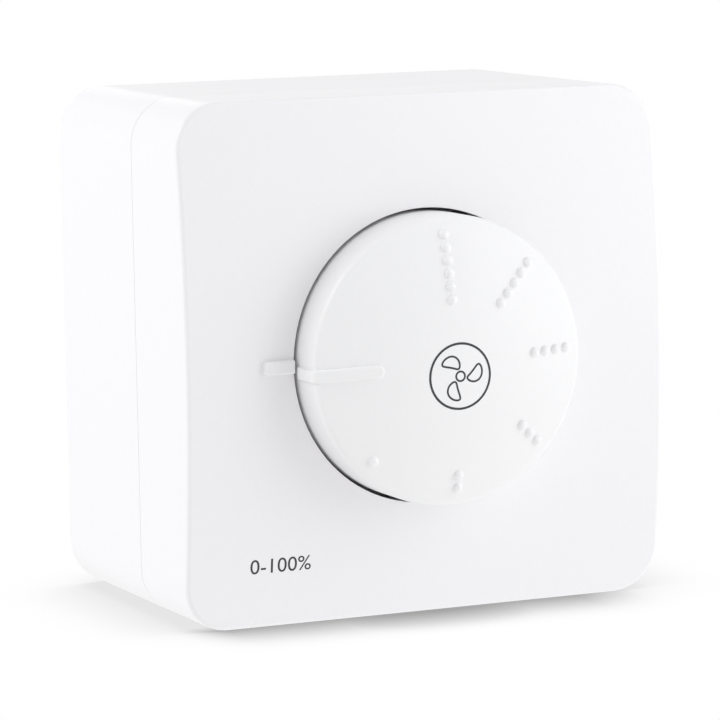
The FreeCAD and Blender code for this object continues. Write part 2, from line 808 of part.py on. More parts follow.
def wall_grommets():
    """Rubber membranes in the cable entries: a flange on each side of the wall and a thin skin between."""
    local_wall = s.housing_wall + s.entry_pad - s.entry_recess
    low = s.entry_recess - s.entry_flange_thick - half_tall
    wall_low = s.entry_recess - half_tall
    wall_high = wall_low + local_wall
    flange = s.entry_radius + s.entry_flange
    made = []
    for side in (-1, 1):
        x = side * s.entry_spacing / 2
        name = f"Grommet{side}"
        lower = post(name + "_lower", flange, s.entry_flange_thick, x, entry_depth, low, "up")
        neck = post(name + "_neck", s.entry_radius, local_wall, x, entry_depth, wall_low, "up")
        upper = post(name + "_upper", flange - s.grommet_step, s.entry_flange_thick, x, entry_depth,
                     wall_high, "up")
        whole = fuse(name + "_whole", lower, neck, upper)
        inner = s.entry_radius - s.grommet_wall
        cup = post(name + "_cup", inner, s.grommet_cup, x, entry_depth, low, "up")
        skin_top = low + s.grommet_cup + s.membrane_thick
        bell_tall = wall_high + s.entry_flange_thick - skin_top
        bell = post(name + "_bell", inner, bell_tall, x, entry_depth, skin_top, "up")
        made.append(cut(name, whole, cup, bell))
    node("wall_grommets", group("Grommets", made))


def dome_depth(radius):
    """How far from the wall the knob's face is, at a radius from the axis."""
    return dome_centre + root(s.dome_radius * s.dome_radius - radius * radius)


def knob_form(name, proud=0):
    """The knob's outer form as one turned solid, or the same form with every surface moved out."""
    body = new_body(name)
    radius = knob_radius + proud
    dome = s.dome_radius + proud
    rim_radius = s.rim_round + proud
    rise = root((dome - rim_radius) * (dome - rim_radius) - (radius - rim_radius) * (radius - rim_radius))
    scale = dome / (dome - rim_radius)
    profile = outline(body, name + "_profile", "XY_Plane", [
        (0, -knob_low), (radius, -knob_low), (radius, -(dome_centre + rise)),
        ((radius - rim_radius) * scale, -(dome_centre + rise * scale)), (0, -(dome_centre + dome))],
        {2: (rim_radius, 1), 3: (dome, 1)})
    turn(body, "Revolution", profile)
    return body


def knob():
    """The knob: domed face, thin skirt, slotted hub with a flatted bore, ribs, pointer bar and dots."""
    body = knob_form("Knob_body")
    inner = knob_radius - s.knob_skin
    hub_end = bushing_end + s.hub_gap
    bore = s.shaft_radius + s.bore_clearance
    bore_end = shaft_end + s.shaft_end_gap
    hollow = outline(body, "Knob_hollow", "XY_Plane", [
        (0, -knob_low), (inner, -knob_low), (inner, -(dome_depth(inner) - s.knob_roof)),
        (s.hub_radius, -(dome_depth(s.hub_radius) - s.knob_roof)), (s.hub_radius, -hub_end),
        (bore, -hub_end), (bore, -bore_end), (0, -bore_end)])
    turn(body, "Groove", hollow)
    key_start = shaft_end - s.shaft_flat_length + s.key_lead
    key_middle = ((s.shaft_radius + s.shaft_flat) / 2 + s.fit_clearance, 0)
    key = rectangle(body, "Key", "XZ_Plane", s.shaft_radius - s.shaft_flat, s.key_tall, key_start, key_middle)
    pad(body, key, bore_end - key_start)
    pocket(body, outline(body, "Slots", "XZ_Plane", slot_cross(), None, hub_end), s.hub_slot_length)
    rib_low = hub_end + s.hub_slot_length + s.rib_gap
    rib_high = dome_depth(inner) - s.knob_roof + s.root_depth
    rib_long = inner - s.hub_radius + 2 * s.root_depth
    across = rectangle(body, "Rib_across", "XZ_Plane", rib_long, s.rib_thick, rib_low,
                       ((inner + s.hub_radius) / 2, 0))
    rib = pad(body, across, rib_high - rib_low)
    ribs = body.newObject("PartDesign::PolarPattern", "Ribs")
    ribs.Originals = [rib]
    ribs.Axis = (next(item for item in body.Origin.OriginFeatures if item.Role == "Y_Axis"), [""])
    ribs.Angle = ROUND
    ribs.Occurrences = 4
    body.Tip = ribs
    doc.recompute()
    check_feature(ribs)
    whole = fuse("Knob", body, pointer(), *dots())
    whole.Refine = False
    at_rest(whole)
    node("knob", whole)


def at_rest(thing):
    """Turns a piece of the rotor to the knob's rest angle."""
    thing.Placement = FreeCAD.Placement(FreeCAD.Vector(), FreeCAD.Rotation(FreeCAD.Vector(0, -1, 0), 1))
    thing.setExpression("Placement.Rotation.Angle", s.rest_turn.text)


def slot_cross():
    """The outline of two crossed slots, wider than the hub."""
    half = s.hub_slot / 2
    reach = s.hub_radius + OVERRUN
    return [(half, half), (half, reach), (-half, reach), (-half, half), (-reach, half), (-reach, -half),
            (-half, -half), (-half, -reach), (half, -reach), (half, -half), (reach, -half), (reach, half)]


def pointer():
    """The raised bar: along the face at nine o'clock, over the rim and down the skirt to the index mark."""
    shell = cut("Bar_shell", knob_form("Bar_skin", s.bar_proud), knob_form("Bar_core", -s.bar_sunk))
    low = front_middle + s.mark_proud + s.bar_lift
    tall = s.body_depth + s.knob_face + OVERRUN - low
    reach = knob_radius + s.bar_proud + OVERRUN
    tip_axis = s.bar_tip + s.bar_width / 2
    strip = block("Bar_strip", reach - tip_axis, tall, s.bar_width, -(reach + tip_axis) / 2, low, 0)
    tip = post("Bar_end", s.bar_width / 2, tall, -tip_axis, low, 0)
    bar = doc.addObject("Part::Common", "Bar_sharp")
    bar.Base = shell
    bar.Tool = fuse("Bar_plan", strip, tip)
    doc.recompute()
    rounded_bar = doc.addObject("Part::Fillet", "Bar")
    rounded_bar.Base = bar
    radius = s.bar_round.value
    rounded_bar.Edges = [(index, radius, radius) for index, edge in enumerate(bar.Shape.Edges, start=1)
                         if is_bar_edge(edge)]
    return rounded_bar


def is_bar_edge(edge):
    """The bar's upper edges along both sides and around its tip."""
    middle = edge.valueAt((edge.FirstParameter + edge.LastParameter) / 2)
    reach = math.hypot(middle.x, middle.z)
    beyond_skirt = reach > knob_radius.value
    above_dome = -middle.y > dome_depth(as_length(min(reach, knob_radius.value))).value
    on_side = near(abs(middle.z), s.bar_width / 2)
    at_tip = near(-middle.x, s.bar_tip)
    return (beyond_skirt or above_dome) and (on_side or at_tip)


def dots():
    """Rows of raised dots, one more in each row, a step apart and counted inward from the outer ring."""
    made = []
    for count in range(1, round(s.dot_rows.value) + 1):
        angle = (count - 4) * s.step_angle
        for index in range(count):
            radius = knob_radius - s.dot_inset - index * s.dot_pitch
            x, z = polar(radius, angle)
            depth = dome_depth(radius) + s.dot_proud - s.dot_radius
            made.append(ball(f"Dot{count}_{index}", s.dot_radius, x, depth, z))
    return made


def knob_spring_clip():
    """An open ring of spring steel around the slotted hub."""
    start = bushing_end + s.hub_gap + s.clip_inset
    ring = tube("Clip_ring", s.hub_radius + s.clip_thick, s.hub_radius, s.clip_width, 0, start, 0)
    mouth = block("Clip_mouth", 2 * s.clip_thick + OVERRUN, s.clip_width, s.clip_mouth, s.hub_radius, start,
                  0)
    node("knob_spring_clip", cut("Clip", ring, mouth))


def neck_hardware():
    """Seal, washer and nut on the bushing."""
    free = s.bushing_radius + s.bushing_clearance
    node("shaft_seal", tube("Seal", s.seal_radius, free, s.seal_thick, 0, plate_front, 0))
    washer = tube("Washer_ring", s.washer_radius, free, s.washer_thick, 0, well_bottom, 0)
    teeth = []
    count = round(s.washer_teeth.value)
    for index in range(count):
        x, z = polar(s.washer_radius, index * ROUND / count)
        teeth.append(post(f"Washer_gap{index}", s.washer_gap_radius, s.washer_thick, x, well_bottom, z))
    node("lock_washer", cut("Washer", washer, *teeth))
    start = well_bottom + s.washer_thick
    nut = hexagon("Nut_body", s.nut_flats, s.nut_thick, 0, start, 0)
    thread = post("Nut_thread", s.bushing_radius + s.fit_clearance, s.nut_thick, 0, start, 0)
    node("bushing_nut", cut("Nut", nut, thread))


def pot_bushing():
    """Threaded neck on a flange that closes the potentiometer's case."""
    neck = post("Bushing_neck", s.bushing_radius, bushing_end - plate_back, 0, plate_back, 0)
    flange = post("Bushing_flange", s.case_radius, s.bushing_flange, 0, case_front, 0)
    hole = post("Bushing_hole", s.shaft_radius + s.shaft_clearance, bushing_end - case_front, 0, case_front,
                0)
    node("pot_bushing", cut("Bushing", fuse("Bushing_body", neck, flange), hole))


def pot_case():
    """Round case with a hole for the spindle and a window for each lug."""
    cup = post("Pot_cup", s.case_radius, case_front - switch_front, 0, switch_front, 0)
    room = post("Pot_room", s.case_radius - s.case_wall, case_front - switch_front - s.case_wall, 0,
                switch_front + s.case_wall, 0)
    pass_hole = post("Pot_pass", s.spindle_radius + s.shaft_clearance, s.case_wall, 0, switch_front, 0)
    tall = s.case_radius + s.lug_slot_gap - lug_inner
    windows = [block(f"Pot_window{index}", s.lug_width, s.lug_thick, tall, index * s.lug_pitch,
                     track_back - s.lug_thick, -(lug_inner + tall / 2)) for index in (-1, 0, 1)]
    node("pot_case", cut("Pot", cup, room, pass_hole, *windows))


def angle_lug(name, x, inner, side, depth):
    """A bent lug: an arm out through the case at a depth, and a leg down through the board."""
    arm_long = lug_outer - inner
    arm = block(name + "_arm", s.lug_width, s.lug_thick, arm_long, x, depth, side * (inner + arm_long / 2))
    leg = block(name + "_leg", s.lug_width, depth + s.lug_thick - lead_end, s.lug_thick, x, lead_end,
                side * (lug_outer - s.lug_thick / 2))
    return fuse(name, arm, leg)


def pot_inside():
    """Track and lugs."""
    track = tube("Track_ring", track_outer, track_outer - s.track_width, s.track_thick, 0, track_back, 0)
    node("pot_track", track)
    lugs = [angle_lug(f"Lug{index}", index * s.lug_pitch, lug_inner, -1, track_back - s.lug_thick)
            for index in (-1, 0, 1)]
    node("pot_lugs", group("Lugs", lugs))


def rotor():
    """Shaft, wiper and cam, which turn with the knob."""
    wiper_front = track_back - s.lug_thick - s.wiper_gap
    wiper_back = wiper_front - s.wiper_thick
    bar = post("Shaft_bar", s.shaft_radius, shaft_end - wiper_front, 0, wiper_front, 0)
    flat = block("Shaft_flat", s.shaft_radius, s.shaft_flat_length, 2 * s.shaft_radius,
                 s.shaft_flat + s.shaft_radius / 2, shaft_end - s.shaft_flat_length, 0)
    cam_back = switch_front - s.cam_gap - s.cam_thick
    spindle = post("Shaft_spindle", s.spindle_radius, wiper_front - cam_back, 0, cam_back, 0)
    shaft = fuse("Shaft_whole", cut("Shaft_flatted", bar, flat), spindle)
    at_rest(shaft)
    node("pot_shaft", shaft)
    disc = tube("Wiper_disc", s.wiper_radius, s.spindle_radius, s.wiper_thick, 0, wiper_back, 0)
    arm_long = track_outer - s.track_clearance - s.spindle_radius
    arm = block("Wiper_arm", s.wiper_arm_width, s.wiper_thick, arm_long - s.root_depth, 0, wiper_back,
                track_outer - s.track_clearance - (arm_long - s.root_depth) / 2)
    finger_place = track_outer - s.track_width + s.finger_inset + s.finger_length / 2
    finger_rise = s.wiper_gap + s.lug_thick - s.contact_gap
    finger = block("Wiper_finger", s.finger_width, finger_rise, s.finger_length, 0, wiper_front, finger_place)
    wiper = fuse("Wiper", disc, arm, finger)
    at_rest(wiper)
    node("pot_wiper", wiper)
    disc = tube("Cam_disc", s.cam_radius, s.spindle_radius, s.cam_thick, 0, cam_back, 0)
    cam = cut("Cam", disc, post("Cam_notch", s.cam_notch, s.cam_thick, 0, cam_back, s.cam_radius))
    at_rest(cam)
    node("switch_cam", cam)


def snap_switch():
    """The switch behind the potentiometer: cup, contact springs and lugs."""
    cup = post("Switch_cup", s.case_radius, s.switch_length, 0, board_front, 0)
    room = post("Switch_room", s.case_radius - s.case_wall, s.switch_length - s.case_wall, 0,
                board_front + s.case_wall, 0)
    depth = board_front + s.case_wall
    inner = lug_outer - s.switch_lug_arm
    tall = s.case_radius + s.lug_slot_gap - inner
    windows = []
    lugs = []
    springs = []
    for side in (-1, 1):
        x = side * s.switch_lug_across
        windows.append(block(f"Switch_window{side}", s.lug_width, s.lug_thick, tall, x, depth,
                             inner + tall / 2))
        lugs.append(angle_lug(f"Switch_lug{side}", x, inner, 1, depth))
        springs.append(block(f"Switch_spring{side}", s.lug_width, s.spring_reach, s.spring_thick, x,
                             depth + s.lug_thick, inner + s.spring_thick))
    node("switch_case", cut("Switch", cup, room, *windows))
    node("switch_lugs", group("Switch_lugs", lugs))
    node("switch_contacts", group("Switch_springs", springs))


def support_plate():
    """Folded steel: windows over the terminals, fuse and trimmer, wall-box slots, and the triac's tab."""
    body = new_body("Plate")
    steel = rounded(body, "Sheet", "XZ_Plane", plate_wide, plate_high, s.plate_corner, plate_back)
    pad(body, steel, s.plate_thick)
    rounds = [(x, z, s.plate_screw_radius + s.screw_clearance) for x, z in post_places]
    rounds.append((0, 0, s.bushing_radius + s.bushing_clearance))
    rounds.append((*trimmer_place, s.trimmer_rotor_radius + s.trimmer_hole_gap))
    rounds += [(x, z, s.board_screw_radius + s.screw_clearance) for x, z in ear_places]
    pocket(body, circles(body, "Holes", "XZ_Plane", rounds, plate_back), s.plate_thick)
    around = 2 * s.window_clearance
    box_slot = (s.box_slot_length, s.box_slot_width)
    clips_wide = 2 * (s.fuse_cap_radius + s.clip_metal)
    windows = [
        ("Terminal_window", block_wide + around, s.block_depth + around, (0, -block_middle)),
        ("Fuse_window", clips_wide + around, s.fuse_length + around, (-fuse_across, 0)),
        ("Slot_left", *box_slot, (-s.wall_hole_spacing / 2, 0)),
        ("Slot_right", *box_slot, (s.wall_hole_spacing / 2, 0)),
    ]
    for name, wide, tall, middle in windows:
        pocket(body, rectangle(body, name, "XZ_Plane", wide, tall, plate_back, middle), s.plate_thick)
    flat_end = triac_face - s.tab_bend
    top = plate_high / 2 + OVERRUN
    notch = rectangle(body, "Tab_notch", "XZ_Plane", s.tab_width + 2 * s.tab_relief, top - flat_end,
                      plate_back, (0, (top + flat_end) / 2))
    pocket(body, notch, s.plate_thick)
    tab_out = triac_face + s.plate_thick
    bend_start = plate_back - s.tab_bend
    tab_end = plate_back - s.tab_length
    fold = outline(body, "Tab", "YZ_Plane", [
        (-plate_front, flat_end), (-bend_start, tab_out), (-tab_end, tab_out), (-tab_end, triac_face),
        (-bend_start, triac_face), (-plate_back, flat_end)],
        {0: (s.tab_bend + s.plate_thick, 1), 4: (s.tab_bend, -1)})
    pad(body, fold, s.tab_width, symmetric=True)
    hole = s.triac_screw_radius + s.triac_hole_clearance
    pocket(body, circles(body, "Tab_hole", "XY_Plane", [(0, -triac_hole, hole)], triac_face), s.plate_thick)
    node("support_plate", body)


def pan_screw(name, radius, shank, head_radius, head_tall, x, depth, z):
    """A pan-head screw with a cross recess, its head's seat at a depth and its shank towards the wall."""
    stem = post(name + "_stem", radius, shank, x, depth - shank, z)
    head = post(name + "_head", head_radius, head_tall, x, depth, z)
    wide = head_radius * RECESS_SPAN
    deep = head_tall * RECESS_DEPTH
    slot = block(name + "_slot", wide, deep, s.recess_width, x, depth + head_tall - deep, z)
    cross = block(name + "_cross", s.recess_width, deep, wide, x, depth + head_tall - deep, z)
    return cut(name, fuse(name + "_body", stem, head), fuse(name + "_recess", slot, cross))


def fasteners():
    """Screws that hold the plate to the posts, the tub to the plate, and the board to the tub."""
    plate = [pan_screw(f"Plate_screw{index}", s.plate_screw_radius, s.plate_screw_length, s.plate_head_radius,
                       s.plate_head_tall, x, plate_front, z) for index, (x, z) in enumerate(post_places)]
    node("plate_screws", group("Plate_screws", plate))
    shank = s.plate_thick + s.ear_thick - s.ear_floor - s.tip_gap
    base = [pan_screw(f"Base_screw{index}", s.board_screw_radius, shank, s.base_head_radius,
                      s.seal_thick - s.base_head_clearance, x, plate_front, z)
            for index, (x, z) in enumerate(ear_places)]
    node("base_screws", group("Base_screws", base))
    shank = board_front - tub_back - s.pillar_floor - s.tip_gap
    board = [pan_screw(f"Board_screw{index}", s.board_screw_radius, shank, s.board_head_radius,
                       s.board_head_tall, x, board_front, z)
             for index, (x, z) in enumerate(board_screw_places)]
    node("board_screws", group("Board_screws", board))


def controller_base():
    """The round tub: floor, wall open at the terminals, pillars for the board and two ears for the plate."""
    body = new_body("Base")
    tall = plate_back - tub_back
    pad(body, circles(body, "Tub", "XZ_Plane", [(0, 0, tub_radius)], tub_back), tall)
    ears = [(x, z, s.ear_radius) for x, z in ear_places]
    pad(body, circles(body, "Ears", "XZ_Plane", ears, plate_back - s.ear_thick), s.ear_thick)
    inside = circles(body, "Inside", "XZ_Plane", [(0, 0, tub_radius - s.tub_wall)], tub_inside)
    pocket(body, inside, tall)
    top = block_end - s.mouth_lap
    bottom = tub_radius + OVERRUN
    mouth = rectangle(body, "Mouth", "XZ_Plane", block_wide + 2 * s.mouth_clearance, bottom - top, tub_inside,
                      (0, -(top + bottom) / 2))
    pocket(body, mouth, tall)
    pillars = [(x, z, s.board_screw_radius + s.pillar_wall) for x, z in board_screw_places]
    pad(body, circles(body, "Pillars", "XZ_Plane", pillars, tub_inside), s.solder_space)
    pilot = s.board_screw_radius + s.fit_clearance
    hole_rounds = [(x, z, pilot) for x, z in board_screw_places]
    holes = circles(body, "Pillar_holes", "XZ_Plane", hole_rounds, board_back)
    pocket(body, holes, s.solder_space + s.tub_floor - s.pillar_floor, reverse=False)
    ear_holes = circles(body, "Ear_holes", "XZ_Plane", [(x, z, pilot) for x, z in ear_places], plate_back)
    pocket(body, ear_holes, s.ear_thick - s.ear_floor, reverse=False)
    node("controller_base", body)


LEADS = []


def lead(name, x, z, rise):
    """A round wire through the board to a height above it; its hole is noted for the board."""
    LEADS.append((x, z))
    return post(name, s.lead_radius, board_front + rise - lead_end, x, lead_end, z)


def circuit_board():
    """A round board with a flat below the terminals and a hole for each lead, lug and screw."""
    body = new_body("Board")
    pad(body, circles(body, "Disc", "XZ_Plane", [(0, 0, board_radius)], board_back), s.board_thick)
    start = block_end + s.board_lip
    stop = board_radius + OVERRUN
    flat = rectangle(body, "Flat", "XZ_Plane", 2 * board_radius, stop - start, board_back,
                     (0, -(start + stop) / 2))
    pocket(body, flat, s.board_thick)
    screws = [(x, z, s.board_screw_radius + s.screw_clearance) for x, z in board_screw_places]
    leads = [(x, z, s.lead_radius + s.lead_clearance) for x, z in LEADS]
    pocket(body, circles(body, "Holes", "XZ_Plane", screws + leads, board_back), s.board_thick)
    leg = lug_outer - s.lug_thick / 2
    legs = [(index * s.lug_pitch, -leg) for index in (-1, 0, 1)]
    legs += [(side * s.switch_lug_across, leg) for side in (-1, 1)]
    for index, middle in enumerate(legs):
        hole = rectangle(body, f"Lug_hole{index}", "XZ_Plane", s.lug_width + 2 * s.lead_clearance,
                         s.lug_thick + 2 * s.lead_clearance, board_back, middle)
        pocket(body, hole, s.board_thick)
    node("circuit_board", body)


def terminals():
    """A moulded block with a brass clamp, its pin and its screw for each pole."""
    shell = block("Block_shell", block_wide, s.block_tall, s.block_depth, 0, board_front, -block_middle)
    size = s.pole_pitch - s.pole_wall - 2 * s.clamp_clearance
    low = board_front + s.clamp_rise
    high = low + s.clamp_tall
    poles = round(s.poles.value)
    hollows = []
    clamps = []
    screws = []
    for index in range(poles):
        x = (index - (poles - 1) / 2) * s.pole_pitch
        around = size + 2 * s.clamp_clearance
        hollows.append(block(f"Clamp_room{index}", around, s.clamp_tall, around, x, low, -block_middle))
        hollows.append(post(f"Wire_port{index}", s.wire_port_radius, s.block_depth / 2, x,
                            low + s.wire_port_rise, -block_end, "up"))
        hollows.append(post(f"Screw_well{index}", size / 2 + s.clamp_clearance, s.block_tall, x, high,
                            -block_middle))
        hollows.append(post(f"Pin_hole{index}", s.lead_radius + s.lead_clearance, s.clamp_rise, x,
                            board_front, -block_middle))
        outside = block(f"Clamp_outside{index}", size, s.clamp_tall, size, x, low, -block_middle)
        pin = lead(f"Clamp_pin{index}", x, -block_middle, s.clamp_rise + s.clamp_wall / 2)
        gap_tall = s.clamp_tall - s.clamp_wall - s.clamp_bridge
        gap = block(f"Clamp_gap{index}", size - 2 * s.clamp_wall, gap_tall, size, x, low + s.clamp_wall,
                    -block_middle)
        thread = post(f"Clamp_thread{index}", s.clamp_screw_radius + s.fit_clearance, s.clamp_bridge, x,
                      high - s.clamp_bridge, -block_middle)
        clamps.append(cut(f"Clamp{index}", fuse(f"Clamp_body{index}", outside, pin), gap, thread))
        screws.append(pan_screw(f"Terminal_screw{index}", s.clamp_screw_radius, s.clamp_screw_length,
                                size / 2 - s.clamp_clearance, s.clamp_head_tall, x, high + s.clamp_head_gap,
                                -block_middle))
    node("terminal_block", cut("Block", shell, *hollows))
    node("terminal_clamps", group("Clamps", clamps))
    node("terminal_screws", group("Terminal_screws", screws))


def fuse_set():
    """A glass fuse in two clips that stand on the board."""
    x = -fuse_across
    depth = board_front + s.fuse_rise
    cap_middle = (s.fuse_length - s.fuse_cap_length) / 2
    glass_radius = s.fuse_cap_radius - s.fuse_cap_wall
    caps = []
    clips = []
    for side in (-1, 1):
        middle = side * cap_middle
        low = middle - s.fuse_cap_length / 2
        shell = post(f"Cap_shell{side}", s.fuse_cap_radius, s.fuse_cap_length, x, depth, low, "up")
        room_low = low if side > 0 else low + s.fuse_cap_end
        room = post(f"Cap_room{side}", glass_radius, s.fuse_cap_length - s.fuse_cap_end, x, depth, room_low,
                    "up")
        caps.append(cut(f"Cap{side}", shell, room))
        clip_low = middle - s.clip_length / 2
        ring = post(f"Clip_ring{side}", s.fuse_cap_radius + s.clip_metal, s.clip_length, x, depth, clip_low,
                    "up")
        bore = post(f"Clip_bore{side}", s.fuse_cap_radius, s.clip_length, x, depth, clip_low, "up")
        mouth = block(f"Clip_opening{side}", s.clip_opening, s.fuse_cap_radius + OVERRUN, s.clip_length, x,
                      depth + s.clip_lip, middle)
        foot = block(f"Clip_foot{side}", s.clip_foot, s.fuse_rise - s.fuse_cap_radius - s.clip_metal / 2,
                     s.clip_length, x, board_front, middle)
        pin = lead(f"Clip_pin{side}", x, middle, s.lead_seat)
        clips.append(cut(f"Clip{side}", fuse(f"Clip_body{side}", ring, foot, pin), bore, mouth))
    node("fuse_clips", group("Clips", clips))
    node("fuse_caps", group("Caps", caps))
    glass_long = s.fuse_length - 2 * s.fuse_cap_end
    node("fuse_tube", tube("Glass", glass_radius, glass_radius - s.glass_wall, glass_long, x, depth,
                           -glass_long / 2, "up"))
    node("fuse_wire", post("Fuse_wire", s.fuse_wire_radius, glass_long, x, depth, -glass_long / 2, "up"))


def triac():
    """The power switch: moulded body on a metal tab, bolted to the plate's fold."""
    low = board_front + s.triac_lead
    tab_low = triac_face - s.triac_tab_thick
    tab_middle = triac_face - s.triac_tab_thick / 2
    mould = block("Triac_mould", s.triac_width, s.triac_body_tall, s.triac_thick, 0, low,
                  triac_face - s.triac_thick / 2)
    recess = block("Triac_recess", s.triac_width, s.triac_body_tall, s.triac_tab_thick, 0, low, tab_middle)
    leads = []
    holes = []
    for index in (-1, 0, 1):
        x = index * s.lead_pitch
        z = triac_face - s.triac_lead_back
        leads.append(lead(f"Triac_lead{index}", x, z, s.triac_lead + s.triac_lead_seat))
        holes.append(post(f"Triac_lead_hole{index}", s.lead_radius, s.triac_lead_seat, x, low, z))
    node("triac_body", cut("Triac", mould, recess, *holes))
    metal = block("Triac_sheet", s.triac_width, triac_top - low, s.triac_tab_thick, 0, low, tab_middle)
    hole = post("Triac_hole", s.triac_screw_radius + s.triac_hole_clearance, s.triac_tab_thick, 0, triac_hole,
                tab_low, "up")
    node("triac_tab", group("Triac_metal", [cut("Triac_plate", metal, hole), *leads]))
    nut_low = triac_face + s.plate_thick
    reach = nut_low + s.triac_nut_thick + s.triac_screw_spare - tab_low
    stem = post("Triac_stem", s.triac_screw_radius, reach, 0, triac_hole, tab_low, "up")
    head_low = tab_low - s.triac_head_tall
    head = post("Triac_head", s.triac_head_radius, s.triac_head_tall, 0, triac_hole, head_low, "up")
    slot = block("Triac_slot", 2 * s.triac_head_radius, s.triac_slot_width, s.triac_slot_depth, 0,
                 triac_hole - s.triac_slot_width / 2, head_low + s.triac_slot_depth / 2)
    node("triac_screw", cut("Triac_screw", fuse("Triac_screw_body", stem, head), slot))
    nut = hexagon("Triac_nut_body", s.triac_nut_flats, s.triac_nut_thick, 0, triac_hole, nut_low, "up")
    thread = post("Triac_nut_thread", s.triac_screw_radius + s.fit_clearance, s.triac_nut_thick, 0,
                  triac_hole, nut_low, "up")
    node("triac_nut", cut("Triac_nut", nut, thread))


def choke():
    """A drum core with its winding of close turns."""
    x, z = choke_place
    lower = post("Choke_lower", s.choke_radius, s.choke_flange, x, board_front, z)
    upper_start = board_front + s.choke_tall - s.choke_flange
    upper = post("Choke_upper", s.choke_radius, s.choke_flange, x, upper_start, z)
    stem = post("Choke_stem", s.choke_core_radius, s.choke_tall, x, board_front, z)
    node("choke_core", fuse("Choke_core", lower, upper, stem))
    room = s.choke_tall - 2 * s.choke_flange
    low = board_front + s.choke_flange
    wound = s.choke_radius - s.choke_wire
    step = room / s.choke_turns
    layers = [tube("Winding_pack", wound, s.choke_core_radius, room, x, low, z)]
    for index in range(round(s.choke_turns.value)):
        bead = doc.addObject("Part::Torus", f"Winding_turn{index}")
        bead.Placement = FreeCAD.Placement(FreeCAD.Vector(), TURNS["front"])
        bind(bead, Radius1=wound, Radius2=step / 2 - s.turn_gap)
        layers.append(place(bead, x, -(low + step * (index + 0.5)), z))
    node("choke_winding", fuse("Winding", *layers))


def part_place(name):
    """The two distances from the shaft's axis of a part on the board."""
    return polar(s.case_radius + getattr(s, name + "_reach"), ANGLES[name])


def capacitors():
    """Two moulded boxes, each on two leads."""
    x, z = part_place("film")
    case = block("Film_case", s.film_width, s.film_tall, s.film_length, x, board_front + s.case_rise, z)
    pins = [lead(f"Film_pin{side}", x, z + side * s.film_spread / 2, s.lead_seat) for side in (-1, 1)]
    node("film_capacitor", fuse("Film", case, *pins))
    x, z = part_place("timing")
    case = block("Timing_case", s.timing_width, s.timing_tall, s.timing_length, x,
                 board_front + s.case_rise, z)
    pins = [lead(f"Timing_pin{side}", x + side * s.lead_pitch / 2, z, s.lead_seat) for side in (-1, 1)]
    node("timing_capacitor", fuse("Timing", case, *pins))


def standing_part(name, side, radius, long):
    """An axial part that stands on the board, with one lead looped over its top."""
    x, z = part_place(name)
    barrel = post(name + "_barrel", radius, long, x, board_front + s.part_rise, z)
    rise = s.part_rise + long + s.loop_rise
    far = x + side * s.lead_pitch
    wires = [lead(name + "_through", x, z, rise), lead(name + "_down", far, z, rise)]
    top = board_front + rise
    start = x if side > 0 else far
    over = post(name + "_over", s.lead_radius, s.lead_pitch, start, top, z, "right")
    elbows = [ball(f"{name}_elbow{index}", s.lead_radius, end, top, z) for index, end in enumerate((x, far))]
    return fuse(name + "_whole", barrel, over, *wires, *elbows)


def axial_parts():
    """Three resistors and the diac."""
    made = [standing_part(name + "_resistor", -1, s.resistor_radius, s.resistor_length)
            for name in ("first", "second", "third")]
    node("resistors", group("Resistors", made))
    node("diac", standing_part("diac", 1, s.diac_radius, s.diac_length))


def trimmer():
    """The minimum-speed trimmer: a square body and a slotted rotor."""
    x, z = trimmer_place
    base = block("Trimmer_base", s.trimmer_width, s.trimmer_tall, s.trimmer_width, x, board_front, z)
    floor = board_front + s.trimmer_tall - s.trimmer_seat
    seat = post("Trimmer_seat", s.trimmer_rotor_radius + s.shaft_clearance, s.trimmer_seat, x, floor, z)
    pins = [lead(f"Trimmer_pin{side}", x + side * s.lead_pitch, z, s.lead_seat) for side in (-1, 1)]
    node("trimmer_body", cut("Trimmer", fuse("Trimmer_whole", base, *pins), seat))
    start = floor + s.shaft_clearance
    disc = post("Trimmer_disc", s.trimmer_rotor_radius, s.trimmer_rotor_tall, x, start, z)
    groove = block("Trimmer_groove", 2 * s.trimmer_rotor_radius, s.trimmer_slot_depth, s.trimmer_slot, x,
                   start + s.trimmer_rotor_tall - s.trimmer_slot_depth, z)
    node("trimmer_rotor", cut("Trimmer_rotor", disc, groove))


def check_and_write():
    """Stops on any failed object or bad shape, then writes a file for each node."""
    doc.recompute()
    failed = [f"{thing.Name} ({thing.getStatusString()})" for thing in doc.Objects
              if {"Invalid", "Error"} & set(thing.State)]
    if failed:
        raise RuntimeError("failed: " + ", ".join(failed))
    os.makedirs("parts", exist_ok=True)
    for thing in nodes:
        shape = thing.Shape
        if shape.isNull() or not shape.isValid() or not shape.Solids:
            raise RuntimeError(thing.Label + " has no valid solid")
        shape.exportStep(f"parts/{thing.Label}.step")
        print(f"{thing.Label}: {len(shape.Solids)} solids, {shape.Volume:.1f} mm3")


surface_housing()
front_cover()
cover_gasket()
wall_grommets()
knob()
knob_spring_clip()
neck_hardware()
pot_bushing()
pot_case()
pot_inside()
rotor()
snap_switch()
support_plate()
fasteners()
controller_base()
terminals()
fuse_set()
triac()
choke()
capacitors()
axial_parts()
trimmer()
circuit_board()
check_and_write()
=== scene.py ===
"""Looks of the fan speed control switch: materials, prints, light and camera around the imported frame."""
import math
import bpy
from mathutils import Matrix, Vector


